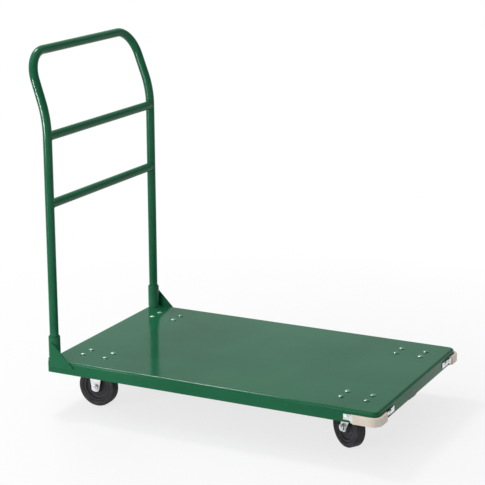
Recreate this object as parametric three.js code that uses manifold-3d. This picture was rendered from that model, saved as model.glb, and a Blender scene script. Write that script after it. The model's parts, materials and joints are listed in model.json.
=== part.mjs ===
// Steel platform cart with a lift-out tubular push handle.
// Millimetres, +Z up. +X points to the front (bumper) end and the handle stands at -X.
// The pieces are placed from the centre of the deck's top face; the finished cart is then
// moved so that its origin lies on the floor, under the middle of its bounding box.
import * as THREE from "three";
import { mergeVertices } from "three/addons/utils/BufferGeometryUtils.js";
import Module from "manifold-3d";

const wasm = await Module();
wasm.setup();

// ---- driving dimensions ----
const seatGap = 0.3; // between pieces that touch
const runGap = 0.5; // beside pieces that turn or slide

const deckLength = 1000;
const deckWidth = 600;
const deckDepth = 37; // top face to the lower edge of the apron
const deckSheet = 2;
const deckBendRadius = 7; // outside radius where the top turns down
const frontCornerRadius = 18; // in plan
const rearCornerRadius = 8;

const stiffenerWidth = 90;
const stiffenerFlange = 20;
const stiffenerDepth = 22;
const stiffenerSheet = 2;
const stiffenerEndGap = 60; // from each end of the deck

const tubeDiameter = 25.4;
const tubeWall = 1.6;
const socketDiameter = 33.4;
const socketHeight = 67;
const socketChamfer = 3;
const socketOverhang = 3; // how far the socket stands past the end of the deck

const upperBarHeight = 636; // above the deck, and where the handle starts to lean back
const barSpacing = 190; // upper bar to lower bar
const gripRise = 225; // upper bar to the top bar
const handleLean = THREE.MathUtils.degToRad(19);
const leanBendRadius = 290;
const handleGather = THREE.MathUtils.degToRad(2.3); // how far the leaned sides turn inwards
const gripCornerRadius = 76;

const gussetSheet = 3;
const gussetReach = 70; // along the side of the deck, past the socket's middle
const gussetDrop = 19; // below the deck's top face
const gussetTip = 5; // width of the blunt tips

const bumperProud = 10; // how far the bumpers stand out of the apron
const bumperHeight = 24;
const bumperLift = 0.5; // lower face above the apron's lower edge
const bumperEdgeRadius = 2;
const bumperSideLeg = 66; // from the front end back along the side
const bumperFrontLeg = 50; // from the side in along the front
const bumperTail = 8; // thin end that the strap holds
const bumperTailThickness = 4;

const strapSheet = 2;
const strapHeight = 16;
const strapDrop = 1; // top of the strap below the top of the bumper
const strapSideTab = 18;
const strapFrontTab = 54;
const strapBoltHeadRadius = 6;
const strapBoltHeadHeight = 3.5;
const strapBoltRadius = 3;
const strapBoltTail = 9; // past the inside of the apron
const domeEdge = 0.4; // shape of a round bolt head, as parts of its radius and height
const domeEdgeRadius = 0.93;
const domeCrown = 0.85;
const domeCrownRadius = 0.65;

const frontCasterInset = 98; // kingpin from the front end
const rearCasterInset = 105; // plate centre from the rear end
const sideCasterInset = 100; // from the side of the deck
const plateLength = 95;
const plateWidth = 67;
const plateSheet = 3;
const plateCornerRadius = 8;
const boltSpacingX = 73;
const boltSpacingY = 44.5;
const plateBoltRadius = 4;
const boltHeadRadius = 8;
const boltHeadHeight = 4;
const boltTail = 10; // below the caster plate

const raceRadius = 27;
const raceDepth = 6;
const crownThickness = 4;
const kingpinRadius = 6;
const kingpinHeadRadius = 10;
const kingpinHeadHeight = 3.4;
const kingpinFootHeight = 5;
const treadClearance = 21; // crown to the top of the tyre
const forkSheet = 3;
const forkTipRadius = 13;
const forkTopHalfLength = 23;
const waistShift = 0.25; // share of the trail that the back edge of a leg has moved by at its waist
const trail = 34; // swivel axis to axle
const rightSteer = THREE.MathUtils.degToRad(32); // as the front casters stand at rest
const leftSteer = THREE.MathUtils.degToRad(4);

const wheelDiameter = 115;
const tyreWidth = 30;
const tyreShoulder = 5;
const coreDiameter = 84;
const coreRimWidth = 26;
const coreRimWall = 6;
const coreWebWidth = 14;
const bossRadius = 15;
const coreDraft = 2; // slope of the moulding's pockets
const wheelSideGap = 1.5; // tyre to fork leg
const axleRadius = 6;
const hexRadius = 10; // axle bolt head and nut, across corners / 2
const axleHeadHeight = 6;
const axleNutHeight = 7;
const axleThreadTail = 3;

const deckArcSteps = 3; // straight pieces in half of each rounded corner
const arcSteps = 3;
const tubeSides = 14;
const wheelSides = 32;
const coreSides = 20;
const smallSides = 10;

// ---- sizes that follow ----
const halfLength = deckLength / 2;
const halfWidth = deckWidth / 2;
const tubeRadius = tubeDiameter / 2;
const socketRadius = socketDiameter / 2;
const socketBore = tubeRadius + runGap;
const postX = -halfLength + socketRadius - socketOverhang;
const postY = halfWidth - socketRadius;
const wheelRadius = wheelDiameter / 2;
const plateTop = -deckSheet - seatGap; // below the deck's top face
const crownTop = -plateSheet - raceDepth - runGap; // from here on, below the plate's top face
const crownBottom = crownTop - crownThickness;
const axleDrop = -crownBottom + treadClearance + wheelRadius;
const rideHeight = -plateTop + axleDrop + wheelRadius;
const legInner = tyreWidth / 2 + wheelSideGap;
const legOuter = legInner + forkSheet;
const bumperTop = -deckDepth + bumperLift + bumperHeight;
const strapTop = bumperTop - strapDrop;

// ---- materials ----
function paint(colour, roughness, metalness) {
  return new THREE.MeshStandardMaterial({ color: colour, roughness, metalness });
}
const greenPaint = paint(0x2a7350, 0.25, 0.1);
const zinc = paint(0xc9cdd0, 0.35, 0.9);
const rubber = paint(0x2a2a2c, 0.8, 0);
const coreMoulding = paint(0x38383b, 0.6, 0);
const creamVinyl = paint(0xd9c8b2, 0.55, 0);

// ---- solids ----
function signedVolume(positions, index) {
  const [a, b, c] = [new THREE.Vector3(), new THREE.Vector3(), new THREE.Vector3()];
  let volume = 0;
  for (let i = 0; i < index.count; i += 3) {
    a.fromBufferAttribute(positions, index.getX(i));
    b.fromBufferAttribute(positions, index.getX(i + 1));
    c.fromBufferAttribute(positions, index.getX(i + 2));
    volume += a.dot(b.cross(c)) / 6;
  }
  return volume;
}

function toSolid(geometry) {
  const bare = geometry.clone();
  bare.deleteAttribute("normal");
  bare.deleteAttribute("uv");
  const merged = mergeVertices(bare, 1e-4);
  const index = merged.index;
  const triVerts = new Uint32Array(index.array);
  if (signedVolume(merged.attributes.position, index) < 0) triVerts.reverse();
  const vertProperties = new Float32Array(merged.attributes.position.array);
  return new wasm.Manifold(new wasm.Mesh({ numProp: 3, vertProperties, triVerts }));
}

function toGeometry(solid) {
  const mesh = solid.getMesh();
  const geometry = new THREE.BufferGeometry();
  geometry.setAttribute("position", new THREE.BufferAttribute(mesh.vertProperties, 3));
  geometry.setIndex(new THREE.BufferAttribute(mesh.triVerts, 1));
  geometry.computeVertexNormals();
  return geometry;
}

function cut(solid, ...tools) {
  return tools.reduce((left, tool) => left.subtract(tool), solid);
}

function join(solid, ...others) {
  return others.reduce((sum, other) => sum.add(other), solid);
}

function block(low, high) {
  const size = high.map((value, i) => value - low[i]);
  const centre = high.map((value, i) => (value + low[i]) / 2);
  return toSolid(new THREE.BoxGeometry(...size).translate(...centre));
}

function cylinderZ(radius, bottom, top, x = 0, y = 0, sides = tubeSides) {
  const geometry = new THREE.CylinderGeometry(radius, radius, top - bottom, sides);
  return toSolid(geometry.rotateX(Math.PI / 2).translate(x, y, (top + bottom) / 2));
}

function cylinderY(radius, low, high, x = 0, z = 0, sides = tubeSides) {
  const geometry = new THREE.CylinderGeometry(radius, radius, high - low, sides);
  return toSolid(geometry.translate(x, (high + low) / 2, z));
}

// A profile of [radius, height] pairs turned about the local Y axis.
function turned(profile, sides) {
  const points = profile.map(([radius, height]) => new THREE.Vector2(radius, height));
  return new THREE.LatheGeometry(points, sides);
}

function turnedZ(profile, sides) {
  return turned(profile, sides).rotateX(Math.PI / 2);
}

function polygon(points) {
  return new THREE.Shape(points.map(([x, y]) => new THREE.Vector2(x, y)));
}

function prismZ(shape, bottom, top) {
  const options = { depth: top - bottom, bevelEnabled: false, curveSegments: arcSteps };
  return new THREE.ExtrudeGeometry(shape, options).translate(0, 0, bottom);
}

// A shape drawn in X and Z, given a thickness along Y.
function prismY(shape, low, high) {
  const options = { depth: high - low, bevelEnabled: false, curveSegments: arcSteps };
  return new THREE.ExtrudeGeometry(shape, options).rotateX(Math.PI / 2).translate(0, high, 0);
}

function mirroredY(geometry) {
  return toGeometry(toSolid(geometry.clone().scale(1, -1, 1)));
}

// ---- scene graph ----
const cart = new THREE.Group();
const aboveDeck = new THREE.Group();
cart.add(aboveDeck);

function place(parent, name, geometry, material) {
  const mesh = new THREE.Mesh(geometry, material);
  mesh.name = name;
  parent.add(mesh);
  return mesh;
}

function groupAt(parent, x, y, z) {
  const group = new THREE.Group();
  group.position.set(x, y, z);
  parent.add(group);
  return group;
}

const sides = [
  { name: "right", sign: -1, steer: rightSteer },
  { name: "left", sign: 1, steer: leftSteer },
];

const casterSpots = [];
for (const side of sides) {
  const y = side.sign * (halfWidth - sideCasterInset);
  const frontX = halfLength - frontCasterInset;
  const rearX = -halfLength + rearCasterInset;
  casterSpots.push({ name: "front_" + side.name, swivels: true, steer: side.steer, x: frontX, y });
  casterSpots.push({ name: "rear_" + side.name, swivels: false, x: rearX, y });
}

function boltPlaces(spot) {
  const places = [];
  for (const dx of [-boltSpacingX / 2, boltSpacingX / 2]) {
    for (const dy of [-boltSpacingY / 2, boltSpacingY / 2]) {
      places.push([spot.x + dx, spot.y + dy]);
    }
  }
  return places;
}

// ---- deck ----
function deckOutline(inset) {
  const front = frontCornerRadius - inset;
  const rear = rearCornerRadius - inset;
  const x = halfLength - inset;
  const y = halfWidth - inset;
  const shape = new THREE.Shape();
  shape.moveTo(-x + rear, -y);
  shape.lineTo(x - front, -y);
  shape.absarc(x - front, -y + front, front, -Math.PI / 2, 0);
  shape.lineTo(x, y - front);
  shape.absarc(x - front, y - front, front, 0, Math.PI / 2);
  shape.lineTo(-x + rear, y);
  shape.absarc(-x + rear, y - rear, rear, Math.PI / 2, Math.PI);
  shape.lineTo(-x, -y + rear);
  shape.absarc(-x + rear, -y + rear, rear, Math.PI, 1.5 * Math.PI);
  return shape;
}

function roundedSlab(inset, top, bottom, radius) {
  const options = {
    depth: top - bottom - 2 * radius,
    bevelEnabled: true,
    bevelThickness: radius,
    bevelSize: radius,
    bevelOffset: -radius,
    bevelSegments: 3,
    curveSegments: deckArcSteps,
  };
  const geometry = new THREE.ExtrudeGeometry(deckOutline(inset), options);
  return toSolid(geometry.translate(0, 0, bottom + radius));
}

const strapBoltZ = strapTop - strapHeight / 2;
const strapOffset = bumperTail + strapSheet;
const sideStrapEnd = halfLength - bumperSideLeg - strapOffset - strapSideTab;
const frontStrapEnd = halfWidth - bumperFrontLeg - strapOffset - strapFrontTab;
const sideBoltX = sideStrapEnd + strapSideTab / 2;
const frontBoltY = frontStrapEnd + strapFrontTab / 2;

function deckPan() {
  const below = -deckDepth - 2 * deckBendRadius;
  const outer = roundedSlab(0, 0, below, deckBendRadius);
  const inner = roundedSlab(deckSheet, -deckSheet, below - 1, deckBendRadius - deckSheet);
  const underside = block([-deckLength, -deckWidth, below - 1], [deckLength, deckWidth, -deckDepth]);
  const holes = [];
  for (const spot of casterSpots) {
    for (const [x, y] of boltPlaces(spot)) {
      holes.push(cylinderZ(plateBoltRadius + seatGap, -deckSheet - 1, 1, x, y, smallSides));
    }
  }
  const apron = deckSheet + 2;
  const holeRadius = strapBoltRadius + seatGap;
  for (const side of sides) {
    const outside = side.sign * halfWidth;
    holes.push(
      cylinderY(holeRadius, outside - apron, outside + apron, sideBoltX, strapBoltZ, smallSides),
    );
    const across = new THREE.CylinderGeometry(holeRadius, holeRadius, 2 * apron, smallSides);
    across.rotateZ(Math.PI / 2).translate(halfLength, side.sign * frontBoltY, strapBoltZ);
    holes.push(toSolid(across));
  }
  return toGeometry(cut(outer, inner, underside, ...holes));
}

function deckStiffener() {
  const web = stiffenerWidth / 2 - stiffenerFlange;
  const t = stiffenerSheet;
  const top = plateTop;
  const bottom = top - stiffenerDepth;
  const half = [
    [stiffenerWidth / 2, top],
    [stiffenerWidth / 2, top - t],
    [web, top - t],
    [web, bottom],
  ];
  const inside = [
    [web - t, bottom + t],
    [web - t, top],
  ];
  const flip = ([y, z]) => [-y, z];
  const outline = [
    ...half,
    ...half.map(flip).reverse(),
    ...inside.map(flip).reverse(),
    ...inside,
  ];
  const length = deckLength - 2 * stiffenerEndGap;
  const options = { depth: length, bevelEnabled: false };
  const geometry = new THREE.ExtrudeGeometry(polygon(outline), options);
  // the drawn X becomes Y, the drawn Y becomes Z and the length runs along X
  const turn = new THREE.Matrix4().makeBasis(
    new THREE.Vector3(0, 1, 0),
    new THREE.Vector3(0, 0, 1),
    new THREE.Vector3(1, 0, 0),
  );
  return toGeometry(toSolid(geometry.applyMatrix4(turn).translate(-length / 2, 0, 0)));
}

place(aboveDeck, "deck_pan", deckPan(), greenPaint);
place(aboveDeck, "deck_stiffener", deckStiffener(), greenPaint);

// ---- sockets and gussets ----
function socket() {
  const bottom = seatGap;
  const top = socketHeight;
  const profile = [
    [socketBore, bottom],
    [socketRadius, bottom],
    [socketRadius, top - socketChamfer],
    [socketRadius - socketChamfer / 2, top],
    [socketBore, top],
    [socketBore, bottom],
  ];
  return toGeometry(toSolid(turnedZ(profile, tubeSides)));
}

// Triangle against the outside of the apron and the socket, drawn in X and Z.
function gusset() {
  const back = postX - gussetTip;
  const low = -gussetDrop;
  const reach = postX + gussetReach;
  const height = low + gussetReach;
  const outline = polygon([
    [back, low],
    [reach, low],
    [reach, low + gussetTip],
    [postX + gussetTip, height],
    [back, height],
  ]);
  const near = -halfWidth - seatGap;
  return toGeometry(toSolid(prismY(outline, near - gussetSheet, near)));
}

for (const side of sides) {
  const socketGroup = groupAt(aboveDeck, postX, side.sign * postY, 0);
  place(socketGroup, "socket_" + side.name, socket(), greenPaint);
  const plate = side.sign < 0 ? gusset() : mirroredY(gusset());
  place(aboveDeck, "gusset_" + side.name, plate, greenPaint);
}

// ---- handle ----
// Turns one leaned side towards the other, gradually over the length of its bend.
function gatherInwards(stations) {
  const bendRise = leanBendRadius * Math.sin(handleLean);
  const slope = Math.tan(handleGather);
  for (const { point, tangent } of stations) {
    const above = Math.max(0, point.z - upperBarHeight);
    const bent = Math.min(above, bendRise);
    point.y += slope * (above - bent + (bent * bent) / (2 * bendRise));
    tangent.y += (slope * bent * tangent.z) / bendRise;
    tangent.normalize();
  }
}

// Stations along the centre line of the bent tube, closer together where it bends.
function handleStations() {
  const leanDown = new THREE.Vector3(Math.sin(handleLean), 0, -Math.cos(handleLean));
  const up = leanDown.clone().negate();
  const half = [];
  const put = (point, tangent) => half.push({ point, tangent });
  const vertical = new THREE.Vector3(0, 0, 1);
  put(new THREE.Vector3(postX, -postY, seatGap), vertical);
  const bendSteps = 5;
  for (let i = 0; i <= bendSteps; i++) {
    const angle = (handleLean * i) / bendSteps;
    const x = postX - leanBendRadius * (1 - Math.cos(angle));
    const z = upperBarHeight + leanBendRadius * Math.sin(angle);
    const tangent = new THREE.Vector3(-Math.sin(angle), 0, Math.cos(angle));
    put(new THREE.Vector3(x, -postY, z), tangent);
  }
  const bendEnd = half[half.length - 1].point;
  const rise = upperBarHeight + gripRise - bendEnd.z;
  const cornerStart = rise / Math.cos(handleLean) - gripCornerRadius;
  const centre = bendEnd.clone().addScaledVector(up, cornerStart);
  centre.y += gripCornerRadius;
  const cornerSteps = 8;
  for (let i = 0; i <= cornerSteps; i++) {
    const angle = ((Math.PI / 2) * i) / cornerSteps;
    const point = centre.clone().addScaledVector(up, gripCornerRadius * Math.sin(angle));
    point.y -= gripCornerRadius * Math.cos(angle);
    const tangent = up.clone().multiplyScalar(Math.cos(angle));
    tangent.y = Math.sin(angle);
    put(point, tangent);
  }
  gatherInwards(half);
  const other = half.map(({ point, tangent }) => ({
    point: new THREE.Vector3(point.x, -point.y, point.z),
    tangent: new THREE.Vector3(-tangent.x, tangent.y, -tangent.z),
  }));
  return [...half, ...other.reverse()];
}

// A curve that steps from station to station, so that straight runs stay in one piece.
class StationCurve extends THREE.Curve {
  constructor(stations) {
    super();
    this.stations = stations;
  }

  at(u) {
    return this.stations[Math.round(u * (this.stations.length - 1))];
  }

  getPointAt(u) {
    return this.at(u).point.clone();
  }

  getTangentAt(u) {
    return this.at(u).tangent.clone();
  }
}

function circle(radius, Kind = THREE.Shape) {
  const shape = new Kind();
  shape.absarc(0, 0, radius, 0, 2 * Math.PI);
  return shape;
}

function handleTube() {
  const stations = handleStations();
  const ring = circle(tubeRadius);
  ring.holes.push(circle(tubeRadius - tubeWall, THREE.Path));
  const options = {
    steps: stations.length - 1,
    extrudePath: new StationCurve(stations),
    curveSegments: tubeSides / 2,
    bevelEnabled: false,
  };
  return toGeometry(toSolid(new THREE.ExtrudeGeometry(ring, options)));
}

// A tube between the posts, its ends coped to fit round them.
function crossbar(height) {
  const inner = tubeRadius - tubeWall;
  const profile = [
    [inner, -postY],
    [tubeRadius, -postY],
    [tubeRadius, postY],
    [inner, postY],
    [inner, -postY],
  ];
  const bar = toSolid(turned(profile, tubeSides).translate(postX, 0, height));
  const copes = sides.map((side) =>
    cylinderZ(
      tubeRadius + seatGap,
      height - tubeDiameter,
      height + tubeDiameter,
      postX,
      side.sign * postY,
      2 * tubeSides,
    ),
  );
  return toGeometry(cut(bar, ...copes));
}

place(aboveDeck, "handle_tube", handleTube(), greenPaint);
place(aboveDeck, "upper_crossbar", crossbar(upperBarHeight), greenPaint);
place(aboveDeck, "lower_crossbar", crossbar(upperBarHeight - barSpacing), greenPaint);

// ---- bumpers, their straps and bolts ----
// Plan of the right-hand bumper, round the corner at +X, -Y.
function bumper() {
  const near = seatGap;
  const tail = seatGap + bumperTailThickness;
  const far = bumperProud;
  const cornerX = halfLength - frontCornerRadius;
  const cornerY = -halfWidth + frontCornerRadius;
  const sideEnd = halfLength - bumperSideLeg;
  const frontEnd = -halfWidth + bumperFrontLeg;
  const shape = new THREE.Shape();
  shape.moveTo(sideEnd - bumperTail, -halfWidth - near);
  shape.lineTo(sideEnd - bumperTail, -halfWidth - tail);
  shape.lineTo(sideEnd, -halfWidth - tail);
  shape.lineTo(sideEnd, -halfWidth - far);
  shape.lineTo(cornerX, -halfWidth - far);
  shape.absarc(cornerX, cornerY, frontCornerRadius + far, -Math.PI / 2, 0);
  shape.lineTo(halfLength + far, frontEnd);
  shape.lineTo(halfLength + tail, frontEnd);
  shape.lineTo(halfLength + tail, frontEnd + bumperTail);
  shape.lineTo(halfLength + near, frontEnd + bumperTail);
  shape.lineTo(halfLength + near, cornerY);
  shape.absarc(cornerX, cornerY, frontCornerRadius + near, 0, -Math.PI / 2, true);
  shape.closePath();
  const options = {
    depth: bumperHeight - 2 * bumperEdgeRadius,
    bevelEnabled: true,
    bevelThickness: bumperEdgeRadius,
    bevelSize: bumperEdgeRadius / 2,
    bevelOffset: -bumperEdgeRadius / 2,
    bevelSegments: 2,
    curveSegments: arcSteps,
  };
  const geometry = new THREE.ExtrudeGeometry(shape, options);
  return toGeometry(toSolid(geometry.translate(0, 0, bumperTop - bumperHeight + bumperEdgeRadius)));
}

// Strap drawn along its length from its free end, with its back at 0: a flat tab on the apron,
// then a step out over the thin tail of the bumper.
function strap(tab) {
  const step = tab + strapSheet;
  const end = step + bumperTail - seatGap;
  const over = bumperTailThickness + seatGap;
  const outline = polygon([
    [0, 0],
    [step - seatGap, 0],
    [step - seatGap, over],
    [end, over],
    [end, over + strapSheet],
    [tab, over + strapSheet],
    [tab, strapSheet],
    [0, strapSheet],
  ]);
  const body = toSolid(prismZ(outline, strapTop - strapHeight, strapTop));
  const holeRadius = strapBoltRadius + seatGap;
  const hole = cylinderY(holeRadius, -1, strapSheet + 1, tab / 2, strapBoltZ, smallSides);
  return toGeometry(cut(body, hole));
}

// Round-headed bolt along +Y, its head bearing at 0.
function strapBolt() {
  const shank = strapSheet + deckSheet + strapBoltTail;
  const dome = strapBoltHeadHeight;
  const profile = [
    [0, -shank],
    [strapBoltRadius, -shank],
    [strapBoltRadius, 0],
    [strapBoltHeadRadius, 0],
    [strapBoltHeadRadius * domeEdgeRadius, dome * domeEdge],
    [strapBoltHeadRadius * domeCrownRadius, dome * domeCrown],
    [0, dome],
  ];
  return toGeometry(toSolid(turned(profile, smallSides)));
}

function placeStrap(side, where, tab, x, y, turn) {
  const name = side.name + "_" + where;
  const group = groupAt(aboveDeck, x, y, 0);
  group.rotation.z = turn;
  const plain = strap(tab);
  const mirrored = toGeometry(toSolid(plain.clone().scale(-1, 1, 1)));
  const isPlain = (side.sign > 0) === (where === "side");
  place(group, "bumper_strap_" + name, isPlain ? plain : mirrored, zinc);
  const along = isPlain ? tab / 2 : -tab / 2;
  const boltGroup = groupAt(group, along, strapSheet + seatGap, strapBoltZ);
  place(boltGroup, "bumper_bolt_" + name, strapBolt(), zinc);
}

for (const side of sides) {
  const piece = side.sign < 0 ? bumper() : mirroredY(bumper());
  place(aboveDeck, "bumper_" + side.name, piece, creamVinyl);
  // on the side of the deck the strap's back faces the apron across seatGap
  const sideY = side.sign * (halfWidth + seatGap);
  const sideTurn = side.sign < 0 ? Math.PI : 0;
  placeStrap(side, "side", strapSideTab, sideStrapEnd, sideY, sideTurn);
  const frontY = side.sign * frontStrapEnd;
  placeStrap(side, "front", strapFrontTab, halfLength + seatGap, frontY, -Math.PI / 2);
}

// ---- bolts through the deck into the caster plates ----
function carriageBolt() {
  const under = seatGap;
  const bottom = plateTop - plateSheet - boltTail;
  const profile = [
    [0, bottom],
    [plateBoltRadius, bottom],
    [plateBoltRadius, under],
    [boltHeadRadius, under],
    [boltHeadRadius * domeEdgeRadius, under + boltHeadHeight * domeEdge],
    [boltHeadRadius * domeCrownRadius, under + boltHeadHeight * domeCrown],
    [0, under + boltHeadHeight],
  ];
  return toGeometry(toSolid(turnedZ(profile, smallSides)));
}

for (const spot of casterSpots) {
  boltPlaces(spot).forEach(([x, y], i) => {
    const group = groupAt(aboveDeck, x, y, 0);
    place(group, "bolt_" + spot.name + "_" + (i + 1), carriageBolt(), greenPaint);
  });
}

// ---- casters, from the top face of the plate ----
function casterPlate() {
  const x = plateLength / 2;
  const y = plateWidth / 2;
  const r = plateCornerRadius;
  const shape = new THREE.Shape();
  shape.moveTo(-x + r, -y);
  shape.lineTo(x - r, -y);
  shape.absarc(x - r, -y + r, r, -Math.PI / 2, 0);
  shape.lineTo(x, y - r);
  shape.absarc(x - r, y - r, r, 0, Math.PI / 2);
  shape.lineTo(-x + r, y);
  shape.absarc(-x + r, y - r, r, Math.PI / 2, Math.PI);
  shape.lineTo(-x, -y + r);
  shape.absarc(-x + r, -y + r, r, Math.PI, 1.5 * Math.PI);
  const options = { depth: plateSheet, bevelEnabled: false, curveSegments: 2 };
  const plate = toSolid(new THREE.ExtrudeGeometry(shape, options).translate(0, 0, -plateSheet));
  const holes = boltPlaces({ x: 0, y: 0 }).map(([bx, by]) =>
    cylinderZ(plateBoltRadius + seatGap, -plateSheet - 1, 1, bx, by, smallSides),
  );
  return cut(plate, ...holes);
}

// Side plate of a fork, drawn in X and Z, narrowing to a round end at the axle.
function forkLeg(axleX, top, waist) {
  const shape = new THREE.Shape();
  const halfTop = forkTopHalfLength;
  shape.moveTo(-halfTop, top);
  shape.lineTo(-halfTop + axleX * waistShift, waist);
  shape.absarc(axleX, -axleDrop, forkTipRadius, Math.PI, 2 * Math.PI);
  shape.lineTo(halfTop, waist);
  shape.lineTo(halfTop, top);
  shape.closePath();
  return shape;
}

function forkLegs(axleX, top, waist) {
  const shape = forkLeg(axleX, top, waist);
  const legs = [
    toSolid(prismY(shape, legInner, legOuter)),
    toSolid(prismY(shape, -legOuter, -legInner)),
  ];
  const bore = cylinderY(axleRadius + seatGap, -legOuter - 1, legOuter + 1, axleX, -axleDrop);
  return cut(join(...legs), bore);
}

function swivelPlate() {
  const race = cylinderZ(raceRadius, -plateSheet - raceDepth, -plateSheet / 2);
  const bore = cylinderZ(kingpinRadius + seatGap, -plateSheet - raceDepth - 1, 1);
  const seat = cylinderZ(kingpinHeadRadius + seatGap, -kingpinHeadHeight - 2 * seatGap, 1);
  return toGeometry(cut(join(casterPlate(), race), bore, seat));
}

function kingpin() {
  const head = -seatGap;
  const foot = crownBottom - runGap;
  const profile = [
    [0, foot - kingpinFootHeight],
    [kingpinHeadRadius, foot - kingpinFootHeight],
    [kingpinHeadRadius, foot],
    [kingpinRadius, foot],
    [kingpinRadius, head - kingpinHeadHeight],
    [kingpinHeadRadius, head - kingpinHeadHeight],
    [kingpinHeadRadius, head],
    [0, head],
  ];
  return toGeometry(toSolid(turnedZ(profile, tubeSides)));
}

function swivelFork() {
  const crown = cylinderZ(raceRadius, crownBottom, crownTop);
  const x = forkTopHalfLength;
  const bridge = block([-x, -legOuter, crownBottom], [x, legOuter, crownTop]);
  const legs = forkLegs(-trail, crownTop, crownBottom - crownThickness);
  const bore = cylinderZ(kingpinRadius + runGap, crownBottom - 1, crownTop + 1);
  return toGeometry(cut(join(crown, bridge, legs), bore));
}

function rigidFork() {
  const legs = forkLegs(0, -plateSheet / 2, crownBottom - treadClearance);
  return toGeometry(join(casterPlate(), legs));
}

function tyre() {
  const half = tyreWidth / 2;
  const inner = coreDiameter / 2 + seatGap;
  const shoulder = [];
  const steps = 3;
  for (let i = 0; i <= steps; i++) {
    const angle = ((Math.PI / 2) * i) / steps;
    const radius = wheelRadius - tyreShoulder * (1 - Math.sin(angle));
    shoulder.push([radius, half - tyreShoulder * (1 - Math.cos(angle))]);
  }
  const lower = shoulder.map(([radius, height]) => [radius, -height]);
  const profile = [
    [inner, -half],
    ...lower,
    ...shoulder.reverse(),
    [inner, half],
    [inner, -half],
  ];
  return toGeometry(toSolid(turned(profile, wheelSides)));
}

function wheelCore() {
  const outer = coreDiameter / 2;
  const rim = outer - coreRimWall;
  const bore = axleRadius + seatGap;
  const boss = legInner - runGap;
  const upper = [
    [outer, coreRimWidth / 2],
    [rim, coreRimWidth / 2],
    [rim - coreDraft, coreWebWidth / 2],
    [bossRadius + coreDraft, coreWebWidth / 2],
    [bossRadius, boss],
    [bore, boss],
  ];
  const lower = upper.map(([radius, height]) => [radius, -height]).reverse();
  return toGeometry(toSolid(turned([...lower, ...upper, lower[0]], coreSides)));
}

function hexagon(radius, low, high) {
  const geometry = new THREE.CylinderGeometry(radius, radius, high - low, 6);
  return toSolid(geometry.translate(0, (high + low) / 2, 0));
}

function axleBolt() {
  const headStart = legOuter + seatGap;
  const tip = -legOuter - seatGap - axleNutHeight - axleThreadTail;
  const shank = cylinderY(axleRadius, tip, headStart + 1);
  return toGeometry(join(shank, hexagon(hexRadius, headStart, headStart + axleHeadHeight)));
}

function axleNut() {
  const inner = -legOuter - seatGap;
  const nut = hexagon(hexRadius, inner - axleNutHeight, inner);
  const bore = cylinderY(axleRadius + seatGap, inner - axleNutHeight - 1, inner + 1);
  return toGeometry(cut(nut, bore));
}

function placeWheel(parent, name, axleX) {
  const group = groupAt(parent, axleX, 0, -axleDrop);
  place(group, name + "_tyre", tyre(), rubber);
  place(group, name + "_wheel_core", wheelCore(), coreMoulding);
  place(group, name + "_axle_bolt", axleBolt(), zinc);
  place(group, name + "_axle_nut", axleNut(), zinc);
}

for (const spot of casterSpots) {
  const mount = groupAt(aboveDeck, spot.x, spot.y, plateTop);
  if (spot.swivels) {
    place(mount, spot.name + "_caster_plate", swivelPlate(), zinc);
    place(mount, spot.name + "_kingpin", kingpin(), zinc);
    const steered = groupAt(mount, 0, 0, 0);
    steered.rotation.z = -spot.steer;
    place(steered, spot.name + "_fork", swivelFork(), zinc);
    placeWheel(steered, spot.name, -trail);
  } else {
    place(mount, spot.name + "_fork", rigidFork(), zinc);
    placeWheel(mount, spot.name, 0);
  }
}

// ---- origin ----
const leanLength = (gripRise - leanBendRadius * Math.sin(handleLean)) / Math.cos(handleLean);
const leanBack = leanBendRadius * (1 - Math.cos(handleLean)) + leanLength * Math.sin(handleLean);
const rearmost = postX - leanBack - tubeRadius;
const foremost = halfLength + bumperProud;
aboveDeck.position.set(-(rearmost + foremost) / 2, 0, rideHeight);

export default cart;
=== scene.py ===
import json
import math

import bmesh
import bpy
from mathutils import Matrix, Vector


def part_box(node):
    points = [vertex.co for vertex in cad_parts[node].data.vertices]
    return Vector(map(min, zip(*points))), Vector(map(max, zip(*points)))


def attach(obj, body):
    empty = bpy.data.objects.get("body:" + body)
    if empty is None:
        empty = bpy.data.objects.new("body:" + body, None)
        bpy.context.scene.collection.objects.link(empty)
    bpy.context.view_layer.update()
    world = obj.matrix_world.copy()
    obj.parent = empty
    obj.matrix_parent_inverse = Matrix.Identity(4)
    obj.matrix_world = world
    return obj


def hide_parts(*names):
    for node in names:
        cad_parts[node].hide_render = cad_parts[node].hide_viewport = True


# Steel platform cart with a lift-out tubular handle, on two fixed and two swivel casters.
# Everything is in metres. The dictionaries of the cart's own parts are in millimetres, which mm
# turns into metres; those of the studio, the lamps and the view are in metres already.
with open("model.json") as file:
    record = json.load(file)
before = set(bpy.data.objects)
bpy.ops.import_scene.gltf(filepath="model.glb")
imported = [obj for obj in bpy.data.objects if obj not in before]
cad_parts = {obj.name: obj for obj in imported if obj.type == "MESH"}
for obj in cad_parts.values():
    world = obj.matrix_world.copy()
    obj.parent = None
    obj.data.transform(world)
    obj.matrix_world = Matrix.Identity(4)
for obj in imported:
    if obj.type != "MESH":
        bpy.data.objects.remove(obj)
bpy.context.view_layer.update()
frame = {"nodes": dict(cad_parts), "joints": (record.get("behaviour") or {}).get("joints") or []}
mm = 0.001
leastRadius = 0.05 * mm
sameSpot = 1e-6
up = Vector((0, 0, 1))
jointAt = {joint["name"]: joint for joint in frame["joints"]}

deckLow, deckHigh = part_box("deck_pan")
deckTop = deckHigh.z
deckMiddle = (deckLow.x + deckHigh.x) / 2
sides = {"right": -1, "left": 1}


# A shape is a list of points and a list of faces.
def arc(centreX, centreY, radius, start, end, steps):
    points = []
    for i in range(steps + 1):
        angle = math.radians(start + (end - start) * i / steps)
        points.append((centreX + radius * math.cos(angle), centreY + radius * math.sin(angle)))
    return points


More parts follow.
